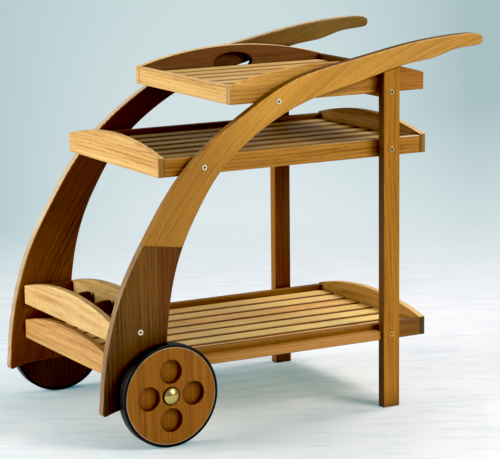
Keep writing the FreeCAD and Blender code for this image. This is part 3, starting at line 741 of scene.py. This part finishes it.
# The tyres and bushes: a moulded black rubber ring stretched over each disc, and a black
# plastic bush pressed into it. Plastic spacers keep the wheels off the arms.
def uneven_surface():
    """Fine specks, paler and darker, as in moulded or plated things that have been used."""
    group, given, made = start_group(
        "uneven surface",
        (("Specks", "Float", 220.0), ("Pale", "Color", (1, 1, 1, 1)),
         ("Dark", "Color", (0, 0, 0, 1))),
        (("Tone", "Color"), ("Speckle", "Float")))
    speckle = blotches(group, on_trolley(group), (given, "Specks"), detail=3.0)
    tone = blend_colours(group, "MIX", speckle, (given, "Dark"), (given, "Pale"))
    wire(group, tone, (made, "Tone"))
    wire(group, speckle, (made, "Speckle"))
    return group


def recess_dirt():
    """Painted shade in narrow recesses, with the dirt that has settled there."""
    group, given, made = start_group(
        "recess dirt", (("Tone", "Color", (1, 1, 1, 1)), ("Shade And Dirt", "Float", 1.0)),
        (("Tone", "Color"),))
    dirt_tint = (0.03, 0.02, 0.012, 1)
    recess = group.nodes.new("ShaderNodeAmbientOcclusion")
    recess.samples = 8
    recess.inputs["Distance"].default_value = 0.004
    deep = spread(group, (recess, "AO"), 0.95, 0.78)
    deep = sums(group, "MULTIPLY", deep, (given, "Shade And Dirt"))
    tone = blend_colours(group, "MULTIPLY", deep, (given, "Tone"), dirt_tint)
    wire(group, tone, (made, "Tone"))
    return group


speckle_group = uneven_surface()
dirt_group = recess_dirt()


def plain_finish(name, colour, roughness, metallic=0.0, speck=220.0, uneven=0.08, gloss=0.5,
                 shade_and_dirt=0.0, relief=0.0002):
    """Rubber, plastic or metal, with fine uneven shine and tone, and painted shade and dirt in its
    recesses.
    """
    finish, tree, shader = start_finish(name)
    base = paint(*colour)[:3]
    pale = (*(min(1.0, part * 1.25 + 0.004) for part in base), 1.0)
    dark = (*(part * 0.75 for part in base), 1.0)
    surface = place_group(tree, speckle_group,
                          (("Specks", speck), ("Pale", pale), ("Dark", dark)))
    tone = (surface, "Tone")
    if shade_and_dirt:
        tone = (place_group(tree, dirt_group, (("Tone", tone), ("Shade And Dirt", shade_and_dirt))), "Tone")
    speckle = (surface, "Speckle")
    rough = spread(tree, speckle, 0.3, 0.7, roughness - uneven, roughness + uneven)
    feed(tree, shader, (("Base Color", tone), ("Roughness", rough), ("Metallic", metallic),
                        ("Specular IOR Level", gloss)))
    raise_surface(tree, speckle, strength=0.3, depth=relief)
    return finish


rubber = plain_finish("black tyre rubber", (6, 6, 8), 0.45, gloss=0.30)
black_plastic = plain_finish("black plastic", (26, 24, 22), 0.5)
finish_nodes(rubber, "near_tyre", "far_tyre")
finish_nodes(black_plastic, "near_wheel_bush", "far_wheel_bush", "axle_spacers")


# The axle and the hub caps: a zinc-plated steel rod through both feet, a blackened washer
# outside each wheel, and a pressed brass cap knocked on to each end.
steel = plain_finish("bright zinc", (250, 230, 196), 0.36, metallic=0.5, shade_and_dirt=1.0)
blackened = plain_finish("blackened washer", (34, 28, 22), 0.4, metallic=0.6)
brass = plain_finish("brass hub cap", (204, 180, 112), 0.28, metallic=1.0, speck=190.0,
                     uneven=0.10, relief=0.0012)
finish_nodes(steel, "axle")
finish_nodes(blackened, "hub_washers")
finish_nodes(brass, "hub_caps")


# The bolts and nuts that hold the frame together, of zinc-plated steel. The round bolt heads
# have six-sided sockets. The plating of the rear ones, in the posts, has yellowed.
post_bolts_from = 0.15
low_bolts_below = 0.3
socket_floor = 0.2603
head_face = 0.2615


def in_post(centre, normal):
    """The bolts at the rear, in the posts."""
    return centre.x > post_bolts_from


def low_in_post(centre, normal):
    """The bolt low in each post, beside the bottom shelf."""
    return in_post(centre, normal) and centre.z < low_bolts_below


def in_socket(centre, normal):
    """The floor and walls of the six-sided socket in a bolt head, and the edge of the head."""
    height = abs(centre.y)
    return height > socket_floor and (abs(normal.y) < 0.3 or height < head_face)


yellow_steel = plain_finish("yellowed zinc", (232, 196, 136), 0.30, metallic=0.85, shade_and_dirt=1.0)
brassy_steel = plain_finish("brassy zinc", (206, 158, 84), 0.34, metallic=0.85, shade_and_dirt=1.0)
# Painted shade: the sockets and the edges of the bolt heads are painted near black.
socket_shade = plain_finish("painted shade in bolt sockets", (10, 7, 5), 0.8, gloss=0.05)
finish_nodes(steel, "connector_bolts", "sleeve_nuts", "barrel_nuts")
finish_nodes(yellow_steel, "connector_bolts", where=in_post)
finish_nodes(brassy_steel, "connector_bolts", where=low_in_post)
finish_nodes(socket_shade, "connector_bolts", where=in_socket)


# The studio floor: smooth and painted pale, swept one way and slightly scuffed. It is solid
# under the trolley, and fades out into the pale air well away from it.
def pale_floor():
    """A wide round floor with soft marks."""
    mesh = bpy.data.meshes.new("floor")
    shape = bmesh.new()
    bmesh.ops.create_circle(shape, cap_ends=True, segments=96, radius=3.0)
    shape.to_mesh(mesh)
    shape.free()
    floor = bpy.data.objects.new("floor", mesh)
    bpy.context.scene.collection.objects.link(floor)
    finish, tree, shader = start_finish("pale studio floor")
    place = on_trolley(tree)
    across = axes(tree)[0]
    left, right = paint(252, 238, 236), paint(249, 229, 227)
    scuff_tint, streak_tint = (0.94, 0.955, 0.96, 1), (0.80, 0.84, 0.86, 1)
    painted_shadow_tint, painted_glow_tint = (0.76, 0.78, 0.76, 1), (0.02, 0.80, 1.0, 1)

    # Scuffs and streaks that run the way the floor was swept
    swept = tree.nodes.new("ShaderNodeMapping")
    feed(tree, swept, (("Vector", place), ("Rotation", (0, 0, math.radians(29)))))
    scuffs = blotches(tree, (swept, "Vector"), (8.0, 2.6, 1.0), detail=5.0, roughness=0.62)
    streaks = blotches(tree, (swept, "Vector"), (5.0, 34.0, 1.0), detail=6.0, roughness=0.7)
    marks = blend_colours(tree, "MIX", spread(tree, across, -0.7, 0.9), left, right)
    marks = blend_colours(tree, "MULTIPLY", spread(tree, scuffs, 0.35, 0.65), marks,
                          scuff_tint)
    marks = blend_colours(tree, "MULTIPLY", spread(tree, streaks, 0.48, 0.76), marks,
                          streak_tint)

    # Painted shadow: a darker place in front of the trolley
    painted_shadow_reach = vectors(tree, "DISTANCE", place, (-0.10, -0.50, 0.0))
    marks = blend_colours(tree, "MULTIPLY", spread(tree, painted_shadow_reach, 0.66, 0.08), marks,
                          painted_shadow_tint)

    # Painted light: the floor glows a little, bluish, which lifts its shadows, and it fades out
    # far away
    glow = blend_colours(tree, "MULTIPLY", 1.0, marks, painted_glow_tint)
    fading = spread(tree, vectors(tree, "LENGTH", place), 1.1, 2.3, 1.0, 0.0)
    feed(tree, shader, (("Base Color", marks), ("Emission Color", glow),
                        ("Emission Strength", 0.24), ("Roughness", 0.9),
                        ("Specular IOR Level", 0.2), ("Alpha", fading)))
    mesh.materials.append(finish)


pale_floor()


# The studio air and lights: a pale blue-grey wall that glows softly behind the trolley, and
# three large soft boxes, in front, overhead and on the left.
def studio_air():
    """Soft light from all round, and the paler and darker air that shows behind the trolley."""
    sky = bpy.data.worlds.new("studio air")
    bpy.context.scene.world = sky
    sky.use_nodes = True
    tree = sky.node_tree
    glow = tree.nodes["Background"]
    feed(tree, glow, (("Color", paint(226, 234, 240)), ("Strength", 0.40)))
    seen = tree.nodes.new("ShaderNodeBackground")
    where = tree.nodes.new("ShaderNodeTexCoord")
    apart = tree.nodes.new("ShaderNodeSeparateXYZ")
    wire(tree, (where, "Generated"), (apart, "Vector"))
    up = (apart, "Z")
    along_wall = (0.8747, -0.4846, 0.0)
    across = vectors(tree, "DOT_PRODUCT", (where, "Generated"), along_wall)
    height = spread(tree, sums(tree, "MULTIPLY_ADD", across, -0.25, up), -0.245, -0.155)
    off_middle = sums(tree, "ADD", across, 0.008)
    off_middle = sums(tree, "MULTIPLY", off_middle, off_middle)
    # Painted light: the wall is paler in its middle, behind the trolley, and darker towards its
    # sides.
    middle = blend_colours(tree, "MIX", spread(tree, up, -0.175, -0.09),
                           paint(219, 230, 233), paint(203, 220, 221))
    edges = blend_colours(tree, "MIX", spread(tree, across, -0.10, 0.10),
                          paint(181, 204, 206), paint(170, 193, 196))
    wall = blend_colours(tree, "MIX", spread(tree, off_middle, 0.0105, 0.0002), edges, middle)
    air = blend_colours(tree, "MIX", height, paint(234, 242, 244), wall)
    wire(tree, air, (seen, "Color"))
    path = tree.nodes.new("ShaderNodeLightPath")
    both = tree.nodes.new("ShaderNodeMixShader")
    wire(tree, (path, "Is Camera Ray"), (both, 0))
    wire(tree, (glow, 0), (both, 1))
    wire(tree, (seen, 0), (both, 2))
    wire(tree, (both, 0), (tree.nodes["World Output"], "Surface"))


def softbox(name, place, aim, size, power, colour):
    """A square soft light, turned towards the place that it lights."""
    lamp = bpy.data.lights.new(name, "AREA")
    lamp.shape = "SQUARE"
    lamp.size = size
    lamp.energy = power
    lamp.color = colour
    holder = bpy.data.objects.new(name, lamp)
    bpy.context.scene.collection.objects.link(holder)
    holder.location = place
    holder.rotation_mode = "QUATERNION"
    holder.rotation_quaternion = (Vector(aim) - Vector(place)).to_track_quat("-Z", "Y")


studio_air()
softbox("front softbox", (1.5, -2.9, 2.4), aim=(0, 0, 0.4), size=1.6, power=88,
        colour=(1.0, 0.99, 0.96))
softbox("overhead softbox", (1.8, 0.1, 2.9), aim=(0, 0, 0.2), size=0.7, power=36,
        colour=(1.0, 1.0, 0.99))
softbox("left softbox", (-3.4, 0.6, 1.3), aim=(0, 0, 0.45), size=1.6, power=105,
        colour=(1.0, 0.99, 0.97))
view = bpy.context.scene.view_settings
view.view_transform = "Standard"
view.use_curve_mapping = True
view.curve_mapping.black_level = (0.016, 0.016, 0.016)


# The camera, on a tripod at the photograph's place: low, in front of the near side and a
# little to the left, with a long lens from over five metres away.
def stand_camera(azimuth, elevation, roll, distance, target, lens):
    """Angles in degrees, the distance to the target in metres and the lens in millimetres."""
    turn, rise, lean = math.radians(azimuth), math.radians(elevation), math.radians(roll)
    back = Vector((math.sin(turn) * math.cos(rise), -math.cos(turn) * math.cos(rise),
                   math.sin(rise)))
    right = Vector((math.cos(turn), math.sin(turn), 0))
    up = back.cross(right)
    rolled_right = right * math.cos(lean) + up * math.sin(lean)
    rolled_up = up * math.cos(lean) - right * math.sin(lean)
    lens_data = bpy.data.cameras.new("camera")
    lens_data.lens = lens
    lens_data.sensor_width = 36.0
    lens_data.clip_end = 60.0
    camera = bpy.data.objects.new("camera", lens_data)
    bpy.context.scene.collection.objects.link(camera)
    turned = Matrix((rolled_right, rolled_up, back)).transposed().to_4x4()
    turned.translation = Vector(target) + back * distance
    camera.matrix_world = turned
    bpy.context.scene.camera = camera


stand_camera(azimuth=-28.99, elevation=10.69, roll=-0.60, distance=5.4927,
             target=(0.01915, 0.0, 0.39726), lens=169.74)
